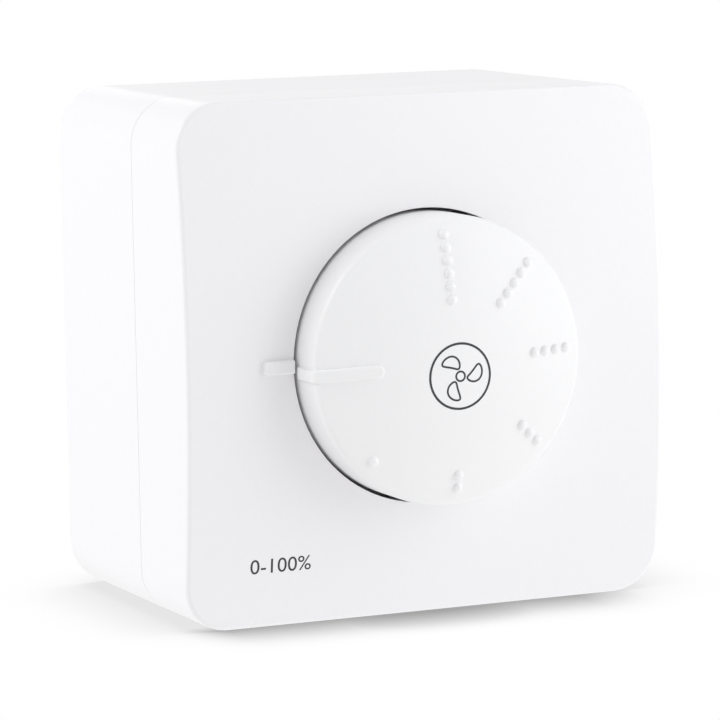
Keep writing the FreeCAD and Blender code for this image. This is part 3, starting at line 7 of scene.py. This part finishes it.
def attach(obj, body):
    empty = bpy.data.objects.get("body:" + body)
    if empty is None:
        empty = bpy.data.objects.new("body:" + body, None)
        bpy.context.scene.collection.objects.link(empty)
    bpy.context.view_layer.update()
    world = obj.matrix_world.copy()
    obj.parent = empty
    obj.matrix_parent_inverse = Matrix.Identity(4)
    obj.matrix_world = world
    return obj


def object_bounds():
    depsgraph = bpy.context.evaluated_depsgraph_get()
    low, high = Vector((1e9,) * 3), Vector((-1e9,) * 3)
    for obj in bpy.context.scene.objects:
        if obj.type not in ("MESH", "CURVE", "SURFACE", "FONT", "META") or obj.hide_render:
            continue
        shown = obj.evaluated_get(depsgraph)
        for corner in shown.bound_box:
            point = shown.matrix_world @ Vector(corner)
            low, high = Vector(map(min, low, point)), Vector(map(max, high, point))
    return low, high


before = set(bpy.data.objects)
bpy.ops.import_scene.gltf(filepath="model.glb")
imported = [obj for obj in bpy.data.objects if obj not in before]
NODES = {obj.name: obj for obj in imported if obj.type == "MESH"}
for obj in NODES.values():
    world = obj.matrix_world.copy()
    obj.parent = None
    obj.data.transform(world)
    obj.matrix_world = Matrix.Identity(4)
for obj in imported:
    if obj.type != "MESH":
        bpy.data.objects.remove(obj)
CAD_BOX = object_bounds()

MM = 0.001

# how far the front's top and bottom edges stand from the wall
FRONT_EDGE = 50.5 * MM

# how far the knob stands short of the index mark at rest
REST_TURN = math.radians(2.5)

# the surround: its colour and strength as light, and what the camera, glossy surfaces and glass see of it
FILL_COLOUR = (0.98, 0.99, 1.0)
FILL = 0.575
PURE_WHITE = (1.0, 1.0, 1.0)
SHINE = 1.0

# each lamp's angles to the right of the front and above the floor, in degrees, its distance and size in
# metres, and its power in watts
LAMPS = {
    "key": (50, 18, 0.42, 0.36, 0.66),
    "edge": (50, 52, 0.95, 0.3, 0.55),
    "upper_left": (-95, 40, 0.95, 0.4, 3.0),
    "side": (-115, 15, 0.9, 0.5, 0.5),
    "behind": (175, 6, 0.95, 0.4, 0.7),
}

# the floor: how far it reaches to each side, and how strongly it glows
FLOOR_REACH = 1500.0 * MM
FLOOR_GLOW = 1.03

# the floor's painted shadow, a tone put into its glow: the reach within which the object closes a spot in,
# the tone of a spot by how open it is, and how many rays find this out
SHADOW_REACH = 21.0 * MM
SHADOW_TONES = ((0.34, 0.3), (0.52, 0.53), (0.8, 0.92), (0.92, 1.0))
SHADOW_SAMPLES = 16

# where that shadow is full: before the front, between a left and a right border. Each border is soft, from
# one place to another. Outside them the shadow keeps a share of its strength.
SHADOW_LEFT = (-42.0 * MM, -34.0 * MM)
SHADOW_RIGHT = (27.0 * MM, 37.0 * MM)
SHADOW_FRONT = (-46.0 * MM, -51.0 * MM)
SHADOW_BESIDE = 0.3

# prints: how far they stand over a surface and reach into it, and where the rays that find it start
PRINT_PROUD = 0.02 * MM
PRINT_SUNK = 0.06 * MM
RAY_START = -200.0 * MM

# the fan sign on the knob: a ring, a hub and curved blades, and into how many steps each is cut
EMBLEM_PLACE = (0.5 * MM, -2.1 * MM)
EMBLEM_RADIUS = 5.1 * MM
EMBLEM_LINE = 0.36 * MM
EMBLEM_STEPS = 120
HUB_RADIUS = 0.75 * MM
HUB_STEPS = 36
BLADES = 3
BLADE_LINE = 0.3 * MM
BLADE_MIDDLE = 2.5 * MM
BLADE_HALF_LONG = 1.3 * MM
BLADE_HALF_WIDE = 1.05 * MM
BLADE_EGG = 0.45
BLADE_SWEEP = 0.5
BLADE_STEPS = 48

# the legend low on the cover's left, and into how many steps each of its curves is cut
LEGEND_WORDS = "0-100%"
LEGEND_LEFT = -30.4 * MM
LEGEND_LOW = -32.3 * MM
LEGEND_WIDE = 10.2 * MM
LEGEND_TALL = 2.3 * MM
LEGEND_STEPS = 6

# the camera, as the photograph was taken: its turns, how far ahead, to the right and down the middle of the
# front's edges lies from it, the nearest distance that it sees, and its sensor and lens in millimetres
YAW = math.radians(23.93)
PITCH = math.radians(7.307)
ROLL = math.radians(-1.057)
DISTANCE = 659.09 * MM
ASIDE = 9.658 * MM
BELOW = -0.968 * MM
NEAREST = 10.0 * MM
SENSOR = 36.0
FOCAL = 209.83

# noise: the roughness of its fine part, and the middle range in which most of it lies
NOISE_ROUGH = 0.55
NOISE_LOW = 0.3
NOISE_HIGH = 0.7

# what varies over plastic and metal: the size of the specks of tone and of the spots of gloss, and the share
# by which the gloss varies
PLASTIC_SPECK = 0.7 * MM
PLASTIC_SPOT = 1.5 * MM
PLASTIC_GLOSS = 0.05
METAL_SPECK = 3.0 * MM
METAL_SPOT = 1.2 * MM
METAL_GLOSS = 0.2

# colours in the photograph
WHITE = (0.876, 0.865, 0.88)
KNOB_WHITE = (0.872, 0.87, 0.878)
INK_BLACK = (0.035, 0.036, 0.04)

# the fuse's glass, in its darker and its lighter spots
GLASS_DARK = (0.92, 0.95, 0.94)
GLASS_LIGHT = (0.97, 0.99, 0.98)

# plastics, rubbers and the like
MOULDED = {
    "satin_white": dict(colour=WHITE, roughness=0.32, variation=0.006),
    "knob_satin": dict(colour=KNOB_WHITE, roughness=0.4, variation=0.006),
    "housing_satin": dict(colour=WHITE, roughness=0.36, grain=0.35 * MM, depth=0.006 * MM, variation=0.008),
    "black_rubber": dict(colour=(0.03, 0.03, 0.03), roughness=0.7),
    "grey_rubber": dict(colour=(0.5, 0.51, 0.52), roughness=0.62),
    "black_plastic": dict(colour=(0.03, 0.03, 0.033), roughness=0.5),
    "terminal_plastic": dict(colour=(0.04, 0.24, 0.14), roughness=0.4),
    "phenolic": dict(colour=(0.2, 0.1, 0.05), roughness=0.5, variation=0.12),
    "carbon": dict(colour=(0.03, 0.03, 0.03), roughness=0.45),
    "nylon": dict(colour=(0.78, 0.75, 0.66), roughness=0.45),
    "epoxy": dict(colour=(0.02, 0.02, 0.022), roughness=0.45),
    "ferrite": dict(colour=(0.05, 0.05, 0.055), roughness=0.5, variation=0.15),
    "film_yellow": dict(colour=(0.7, 0.5, 0.06), roughness=0.3),
    "timing_yellow": dict(colour=(0.72, 0.52, 0.08), roughness=0.3),
    "resistor_tan": dict(colour=(0.62, 0.44, 0.24), roughness=0.3, variation=0.08),
    "diac_blue": dict(colour=(0.06, 0.16, 0.4), roughness=0.25),
    "trimmer_blue": dict(colour=(0.05, 0.13, 0.42), roughness=0.35),
    "trimmer_white": dict(colour=(0.8, 0.8, 0.76), roughness=0.4),
    "board_green": dict(colour=(0.02, 0.14, 0.05), roughness=0.3, variation=0.1),
}

# metals
METALS = {
    "zinc_plate": dict(colour=(0.62, 0.65, 0.68), roughness=0.34),
    "spring_steel": dict(colour=(0.42, 0.42, 0.44), roughness=0.28),
    "nickel": dict(colour=(0.66, 0.63, 0.58), roughness=0.24),
    "brass": dict(colour=(0.78, 0.6, 0.3), roughness=0.3),
    "aluminium": dict(colour=(0.76, 0.77, 0.78), roughness=0.3),
    "tin": dict(colour=(0.7, 0.7, 0.68), roughness=0.35),
    "enamelled_copper": dict(colour=(0.72, 0.3, 0.13), roughness=0.3),
}

# the look of each node
LOOKS = {
    "front_cover": "satin_white",
    "knob": "knob_satin",
    "surface_housing": "housing_satin",
    "wall_grommets": "grey_rubber",
    "cover_gasket": "black_rubber",
    "shaft_seal": "black_rubber",
    "knob_spring_clip": "spring_steel",
    "lock_washer": "zinc_plate",
    "bushing_nut": "nickel",
    "pot_bushing": "nickel",
    "pot_case": "phenolic",
    "pot_track": "carbon",
    "pot_lugs": "tin",
    "pot_shaft": "aluminium",
    "pot_wiper": "nylon",
    "switch_case": "phenolic",
    "switch_cam": "nylon",
    "switch_lugs": "tin",
    "switch_contacts": "brass",
    "support_plate": "zinc_plate",
    "plate_screws": "zinc_plate",
    "base_screws": "zinc_plate",
    "board_screws": "zinc_plate",
    "controller_base": "black_plastic",
    "terminal_block": "terminal_plastic",
    "terminal_clamps": "brass",
    "terminal_screws": "zinc_plate",
    "fuse_clips": "tin",
    "fuse_caps": "nickel",
    "fuse_tube": "fuse_glass",
    "fuse_wire": "tin",
    "triac_body": "epoxy",
    "triac_tab": "tin",
    "triac_screw": "zinc_plate",
    "triac_nut": "zinc_plate",
    "choke_core": "ferrite",
    "choke_winding": "enamelled_copper",
    "film_capacitor": "film_yellow",
    "timing_capacitor": "timing_yellow",
    "resistors": "resistor_tan",
    "diac": "diac_blue",
    "trimmer_body": "trimmer_blue",
    "trimmer_rotor": "trimmer_white",
    "circuit_board": "board_green",
}

# sockets of a colour Mix node, by number because several share a name: the share, the colour at 0, the
# colour at 1 and the result
MIX_SHARE = 0
MIX_START = 6
MIX_END = 7
MIX_RESULT = 2


# materials


class Shader:
    """A node material with short ways to add and join nodes."""

    def __init__(self, name):
        self.material = bpy.data.materials.new(name)
        self.material.use_nodes = True
        self.tree = self.material.node_tree
        self.tree.nodes.clear()
        self.output = self.add("ShaderNodeOutputMaterial")
        self.place = self.add("ShaderNodeTexCoord")

    def add(self, kind, **settings):
        node = self.tree.nodes.new(kind)
        for name, value in settings.items():
            setattr(node, name, value)
        return node

    def join(self, source, out, target, into):
        self.tree.links.new(source.outputs[out], target.inputs[into])

    def noise(self, size, detail=3.0):
        """Noise whose features are about a size in metres."""
        node = self.add("ShaderNodeTexNoise")
        node.inputs["Scale"].default_value = 1.0 / size
        node.inputs["Detail"].default_value = detail
        node.inputs["Roughness"].default_value = NOISE_ROUGH
        self.join(self.place, "Object", node, "Vector")
        return node

    def between(self, source, out, start, end, low, high):
        """A value that goes from low to high as the source goes from start to end."""
        node = self.add("ShaderNodeMapRange")
        node.inputs["From Min"].default_value = start
        node.inputs["From Max"].default_value = end
        node.inputs["To Min"].default_value = low
        node.inputs["To Max"].default_value = high
        self.join(source, out, node, "Value")
        return node

    def product(self, first, second):
        """The product of what two nodes give first."""
        node = self.add("ShaderNodeMath", operation="MULTIPLY")
        self.join(first, 0, node, 0)
        self.join(second, 0, node, 1)
        return node

    def colours(self, source, out, *steps):
        """A colour ramp: pairs of a place and a colour."""
        node = self.add("ShaderNodeValToRGB")
        ramp = node.color_ramp
        while len(ramp.elements) < len(steps):
            # any place between the first and the last will do, as the loop below sets it
            ramp.elements.new(0.5)
        for element, (place, colour) in zip(ramp.elements, steps):
            element.position = place
            element.color = (*colour, 1.0)
        self.join(source, out, node, "Fac")
        return node

    def blend(self, share, share_out, colour, end, end_out):
        """A colour that becomes what a node gives as a share goes from 0 to 1."""
        node = self.add("ShaderNodeMix", data_type="RGBA")
        node.inputs[MIX_START].default_value = (*colour, 1.0)
        self.join(share, share_out, node, MIX_SHARE)
        self.join(end, end_out, node, MIX_END)
        return node


class Surface(Shader):
    """A material of one surface, whose tone, gloss and height vary with noise."""

    def __init__(self, name, **values):
        super().__init__(name)
        self.surface = self.add("ShaderNodeBsdfPrincipled")
        self.join(self.surface, "BSDF", self.output, "Surface")
        for socket, value in values.items():
            self.surface.inputs[socket.replace("_", " ")].default_value = value

    def mottle(self, noise, dark, light):
        """Lets the colour vary between a dark and a light one."""
        tone = self.colours(noise, "Fac", (NOISE_LOW, dark), (NOISE_HIGH, light))
        self.join(tone, "Color", self.surface, "Base Color")

    def gloss(self, noise, roughness, share):
        """Lets the roughness vary by a share to either side."""
        ends = (roughness * (1 - share), roughness * (1 + share))
        uneven = self.between(noise, "Fac", NOISE_LOW, NOISE_HIGH, *ends)
        self.join(uneven, "Result", self.surface, "Roughness")

    def bump(self, noise, height):
        """Bump of a height in metres."""
        node = self.add("ShaderNodeBump")
        node.inputs["Distance"].default_value = height
        self.join(noise, "Fac", node, "Height")
        self.join(node, "Normal", self.surface, "Normal")


def shade(colour, factor):
    """A colour made darker or lighter."""
    return tuple(min(1.0, value * factor) for value in colour)


def moulded(name, colour, roughness, grain=0.25 * MM, depth=0.004 * MM, variation=0.015):
    """Moulded plastic: a fine eroded grain, fine specks of tone, and a slightly uneven gloss."""
    look = Surface(name, IOR=1.5, Roughness=roughness)
    specks = look.noise(PLASTIC_SPECK, detail=4.0)
    look.mottle(specks, shade(colour, 1 - variation), shade(colour, 1 + variation))
    look.gloss(look.noise(PLASTIC_SPOT), roughness, PLASTIC_GLOSS)
    look.bump(look.noise(grain, detail=2.0), depth)
    return look.material


def metal(name, colour, roughness, grain=0.4 * MM, depth=0.002 * MM, variation=0.06):
    """Metal: a dull grain with spots of tone."""
    look = Surface(name, Metallic=1.0, Roughness=roughness)
    specks = look.noise(METAL_SPECK, detail=4.0)
    look.mottle(specks, shade(colour, 1 - variation), shade(colour, 1 + variation))
    look.gloss(look.noise(METAL_SPOT), roughness, METAL_GLOSS)
    look.bump(look.noise(grain), depth)
    return look.material


def clear_glass(name, spot=4.0 * MM, wave=2.0 * MM, depth=0.005 * MM):
    """The fuse's glass: clear, with a faint drawn unevenness."""
    look = Surface(name, Transmission_Weight=1.0, Roughness=0.03, IOR=1.47)
    look.mottle(look.noise(spot), GLASS_DARK, GLASS_LIGHT)
    look.bump(look.noise(wave), depth)
    return look.material


def ink(name, colour, speck=0.4 * MM, thick=0.85, thin=1.2):
    """Pad-printed ink: matt, with a film whose thick and thin spots are a little darker and lighter."""
    look = Surface(name, Roughness=0.55, IOR=1.45)
    look.mottle(look.noise(speck, detail=2.0), shade(colour, thick), shade(colour, thin))
    return look.material


def dress():
    """Gives every carried-over piece its material."""
    materials = {name: moulded(name, **values) for name, values in MOULDED.items()}
    materials.update({name: metal(name, **values) for name, values in METALS.items()})
    materials["fuse_glass"] = clear_glass("fuse_glass")
    for name, node in NODES.items():
        node.data.materials.clear()
        node.data.materials.append(materials[LOOKS[name]])


# prints


def lay_on(node, x, z, height):
    """The point at a height over a node's front, straight behind a point of the drawing."""
    hit, place, _, _ = NODES[node].ray_cast(Vector((x, RAY_START, z)), Vector((0.0, 1.0, 0.0)))
    if not hit:
        raise RuntimeError(f"nothing of {node} lies behind {x}, {z}")
    return Vector((place.x, place.y - height, place.z))


def border(faces):
    """The edges that one face has alone, each as its start and end."""
    edges = dict.fromkeys(edge for face in faces for edge in zip(face, face[1:] + face[:1]))
    return [(start, end) for start, end in edges if (end, start) not in edges]


def film(name, node, flat, faces, material, body):
    """A printed shape as a thin closed layer that follows the surface below it."""
    mesh = bpy.data.meshes.new(name)
    proud = [lay_on(node, x, z, PRINT_PROUD) for x, z in flat]
    sunk = [lay_on(node, x, z, -PRINT_SUNK) for x, z in flat]
    count = len(flat)
    lower = [tuple(index + count for index in reversed(face)) for face in faces]
    walls = [(end, start, start + count, end + count) for start, end in border(faces)]
    mesh.from_pydata([*proud, *sunk], [], [*faces, *lower, *walls])
    mesh.validate()
    mesh.materials.append(material)
    piece = bpy.data.objects.new(name, mesh)
    bpy.context.scene.collection.objects.link(piece)
    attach(piece, body)
    return piece


def stroke(points, width):
    """A closed line of constant width: its flat points and its faces, seen from the front."""
    count = len(points)
    flat = []
    for index, (x, z) in enumerate(points):
        before = points[index - 1]
        after = points[(index + 1) % count]
        run = Vector((after[0] - before[0], after[1] - before[1])).normalized()
        for side in (-width / 2, width / 2):
            flat.append((x - run.y * side, z + run.x * side))
    faces = []
    for index in range(count):
        here = 2 * index
        there = 2 * ((index + 1) % count)
        faces.append((here, there, there + 1, here + 1))
    return flat, faces


def ring(radius, steps):
    """Points of a circle, turning left."""
    angles = [math.tau * step / steps for step in range(steps)]
    return [(radius * math.cos(angle), radius * math.sin(angle)) for angle in angles]


def blade(turn):
    """Points of one curved blade: an egg shape, bent about the hub."""
    points = []
    for step in range(BLADE_STEPS):
        angle = math.tau * step / BLADE_STEPS
        out = BLADE_MIDDLE + BLADE_HALF_LONG * math.cos(angle)
        wide = BLADE_HALF_WIDE * math.sin(angle) * (1.0 + BLADE_EGG * math.cos(angle))
        bend = turn + BLADE_SWEEP * (out - BLADE_MIDDLE) / BLADE_MIDDLE
        along = Vector((math.cos(bend), math.sin(bend)))
        points.append((along.x * out - along.y * wide, along.y * out + along.x * wide))
    return points


def emblem(material):
    """A plain fan sign on the knob: a thin ring, three blades in outline and a hub."""
    shapes = [(ring(EMBLEM_RADIUS, EMBLEM_STEPS), EMBLEM_LINE), (ring(HUB_RADIUS, HUB_STEPS), BLADE_LINE)]
    for number in range(BLADES):
        shapes.append((blade(REST_TURN + number * math.tau / BLADES), BLADE_LINE))
    flat = []
    faces = []
    for points, width in shapes:
        more_flat, more_faces = stroke(points, width)
        faces += [tuple(index + len(flat) for index in face) for face in more_faces]
        flat += more_flat
    flat = [(x + EMBLEM_PLACE[0], z + EMBLEM_PLACE[1]) for x, z in flat]
    piece = film("fan_sign", "knob", flat, faces, material, "rotor")


def written():
    """The legend's letters as a flat mesh, in the font's own units."""
    words = bpy.data.curves.new("range_print_curve", "FONT")
    words.body = LEGEND_WORDS
    words.resolution_u = LEGEND_STEPS
    words.fill_mode = "FRONT"
    holder = bpy.data.objects.new("range_print_text", words)
    bpy.context.scene.collection.objects.link(holder)
    bpy.context.view_layer.update()
    mesh = bpy.data.meshes.new_from_object(holder)
    bpy.data.objects.remove(holder)
    return mesh


def legend(material):
    """The range of the control, in plain numerals low on the cover's left."""
    mesh = written()
    spots = [vertex.co.copy() for vertex in mesh.vertices]
    faces = [tuple(face.vertices) for face in mesh.polygons]
    bpy.data.meshes.remove(mesh)
    left = min(spot.x for spot in spots)
    right = max(spot.x for spot in spots)
    low = min(spot.y for spot in spots)
    high = max(spot.y for spot in spots)
    flat = [(LEGEND_LEFT + (spot.x - left) / (right - left) * LEGEND_WIDE,
             LEGEND_LOW + (spot.y - low) / (high - low) * LEGEND_TALL) for spot in spots]
    piece = film("range_print", "front_cover", flat, faces, material, "housing")


# stage, light and camera


def shadow_tone(shader):
    """The floor's painted shadow at a spot: white in the open, and darker the more the object closes it in.
    """
    open_sky = shader.add("ShaderNodeAmbientOcclusion")
    open_sky.samples = SHADOW_SAMPLES
    open_sky.inputs["Distance"].default_value = SHADOW_REACH
    steps = [(place, (tone, tone, tone)) for place, tone in SHADOW_TONES]
    return shader.colours(open_sky, "AO", *steps)


def shadow_share(shader):
    """How much of the shadow's tone the floor takes: all between its borders, and less elsewhere."""
    spot = shader.add("ShaderNodeSeparateXYZ")
    shader.join(shader.place, "Object", spot, "Vector")
    share = shader.between(spot, "Y", *SHADOW_FRONT, 0.0, 1.0)
    share = shader.product(share, shader.between(spot, "X", *SHADOW_LEFT, 0.0, 1.0))
    share = shader.product(share, shader.between(spot, "X", *SHADOW_RIGHT, 1.0, 0.0))
    return shader.between(share, "Value", 0.0, 1.0, SHADOW_BESIDE, 1.0)


def floor_look():
    """Clear from below; from above an even glow, which the camera sees as white with a soft painted shadow.
    """
    shader = Shader("floor")
    tone = shader.blend(shadow_share(shader), "Result", PURE_WHITE, shadow_tone(shader), "Color")
    path = shader.add("ShaderNodeLightPath")
    seen = shader.blend(path, "Is Camera Ray", (FLOOR_GLOW, FLOOR_GLOW, FLOOR_GLOW), tone, MIX_RESULT)
    glow = shader.add("ShaderNodeEmission")
    shader.join(seen, MIX_RESULT, glow, "Color")
    clear = shader.add("ShaderNodeBsdfTransparent")
    geometry = shader.add("ShaderNodeNewGeometry")
    mix = shader.add("ShaderNodeMixShader")
    shader.join(geometry, "Backfacing", mix, 0)
    shader.join(glow, "Emission", mix, 1)
    shader.join(clear, "BSDF", mix, 2)
    shader.join(mix, "Shader", shader.output, "Surface")
    return shader.material


def stage_plane():
    """The pale floor, level with the lowest point of the object."""
    floor_mesh = bpy.data.meshes.new("floor")
    level = CAD_BOX[0][2]
    corners = [(x * FLOOR_REACH, y * FLOOR_REACH, level) for x, y in ((-1, -1), (1, -1), (1, 1), (-1, 1))]
    floor_mesh.from_pydata(corners, [], [(0, 1, 2, 3)])
    floor_mesh.materials.append(floor_look())
    floor = bpy.data.objects.new("floor", floor_mesh)
    bpy.context.scene.collection.objects.link(floor)


def surround():
    """Even soft light from all round; the camera, glossy surfaces and glass see it white."""
    world = bpy.data.worlds.new("studio")
    bpy.context.scene.world = world
    world.use_nodes = True
    nodes = world.node_tree.nodes
    join = world.node_tree.links.new
    nodes.clear()
    mix = nodes.new("ShaderNodeMixShader")
    for socket, colour, strength in ((1, FILL_COLOUR, FILL), (2, PURE_WHITE, SHINE)):
        light = nodes.new("ShaderNodeBackground")
        light.inputs["Color"].default_value = (*colour, 1.0)
        light.inputs["Strength"].default_value = strength
        join(light.outputs[0], mix.inputs[socket])
    path = nodes.new("ShaderNodeLightPath")
    seen = path.outputs["Is Camera Ray"]
    for ray in ("Is Glossy Ray", "Is Transmission Ray"):
        either = nodes.new("ShaderNodeMath")
        either.operation = "MAXIMUM"
        join(seen, either.inputs[0])
        join(path.outputs[ray], either.inputs[1])
        seen = either.outputs[0]
    join(seen, mix.inputs[0])
    output = nodes.new("ShaderNodeOutputWorld")
    join(mix.outputs[0], output.inputs["Surface"])


def towards(aside, above):
    """The direction at two angles in degrees, to the right of the front and above the floor."""
    aside = math.radians(aside)
    above = math.radians(above)
    level = math.cos(above)
    return Vector((level * math.sin(aside), -level * math.cos(aside), math.sin(above)))


def lamps():
    """Square soft lamps around the object, each turned to its middle and out of the camera's sight."""
    middle = Vector((0.0, -FRONT_EDGE / 2, 0.0))
    for name, (aside, above, distance, size, power) in LAMPS.items():
        light = bpy.data.lights.new(name, "AREA")
        light.shape = "SQUARE"
        light.size = size
        light.energy = power
        holder = bpy.data.objects.new(name, light)
        holder.visible_camera = False
        bpy.context.scene.collection.objects.link(holder)
        aim = towards(aside, above)
        holder.location = middle + distance * aim
        holder.rotation_euler = (-aim).to_track_quat("-Z", "Y").to_euler()


def camera_axes():
    """The camera's axes: right, down and ahead."""
    roll = Matrix.Rotation(ROLL, 3, "Z")
    level = Matrix(((1, 0, 0), (0, 0, -1), (0, 1, 0)))
    pitch = Matrix.Rotation(PITCH, 3, "X")
    yaw = Matrix.Rotation(YAW, 3, "Z")
    return roll @ level @ pitch @ yaw


def camera():
    """The camera at the photograph's place, with its lens."""
    right, down, ahead = camera_axes()
    face = Vector((0.0, -FRONT_EDGE, 0.0))
    place = face - ASIDE * right - BELOW * down - DISTANCE * ahead
    data = bpy.data.cameras.new("camera")
    data.sensor_width = SENSOR
    data.lens = FOCAL
    data.clip_start = NEAREST
    holder = bpy.data.objects.new("camera", data)
    bpy.context.scene.collection.objects.link(holder)
    turn = Matrix((right, -down, -ahead)).transposed().to_4x4()
    holder.matrix_world = Matrix.Translation(place) @ turn
    bpy.context.scene.camera = holder


dress()
black_ink = ink("print_ink", INK_BLACK)
emblem(black_ink)
legend(black_ink)
stage_plane()
surround()
lamps()
camera()
bpy.context.scene.view_settings.view_transform = "Standard"
